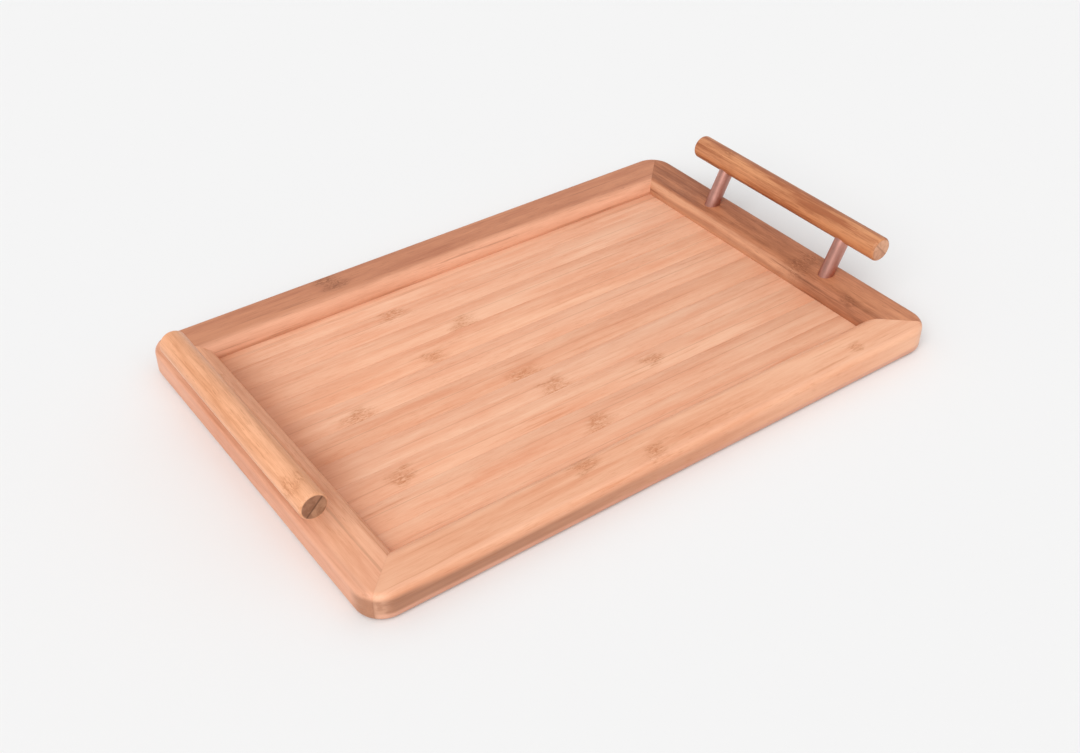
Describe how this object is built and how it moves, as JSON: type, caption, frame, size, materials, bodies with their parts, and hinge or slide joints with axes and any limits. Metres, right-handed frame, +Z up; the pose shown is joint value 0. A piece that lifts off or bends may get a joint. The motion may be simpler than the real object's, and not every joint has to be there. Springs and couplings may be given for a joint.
{
  "type": "serving tray",
  "caption": "Rectangular bamboo serving tray with a mitred raised frame, a glued stave floor and a round bar handle on leaning metal posts over each short side.",
  "frame": {"origin": "on the table under the middle of the tray, on the plane of the frame's undersides", "axes": "+X along the tray from the left handle to the right handle, +Y across it towards the back rail, +Z up"},
  "size_m": [0.4672, 0.3, 0.06],
  "materials": {
    "floor_bamboo": "satin lacquer",
    "frame_bamboo": "satin lacquer",
    "spline_bamboo": "bare",
    "bar_bamboo": "satin lacquer",
    "post_metal": "satin",
    "fixing_steel": "zinc plated"
  },
  "bodies": {
    "root": {"floor_stave_01": "floor_bamboo", "floor_stave_02": "floor_bamboo", "floor_stave_03": "floor_bamboo", "floor_stave_04": "floor_bamboo", "floor_stave_05": "floor_bamboo", "floor_stave_06": "floor_bamboo", "floor_stave_07": "floor_bamboo", "floor_stave_08": "floor_bamboo", "floor_stave_09": "floor_bamboo", "floor_stave_10": "floor_bamboo", "rail_front": "frame_bamboo", "rail_back": "frame_bamboo", "rail_left": "frame_bamboo", "rail_right": "frame_bamboo", "spline_front_left": "spline_bamboo", "spline_front_right": "spline_bamboo", "spline_back_left": "spline_bamboo", "spline_back_right": "spline_bamboo", "bar_left_inner": "bar_bamboo", "bar_left_outer": "bar_bamboo", "post_left_front": "post_metal", "screw_left_front": "fixing_steel", "washer_left_front": "fixing_steel", "post_left_back": "post_metal", "screw_left_back": "fixing_steel", "washer_left_back": "fixing_steel", "bar_right_inner": "bar_bamboo", "bar_right_outer": "bar_bamboo", "post_right_front": "post_metal", "screw_right_front": "fixing_steel", "washer_right_front": "fixing_steel", "post_right_back": "post_metal", "screw_right_back": "fixing_steel", "washer_right_back": "fixing_steel"}
  },
  "joints": []
}
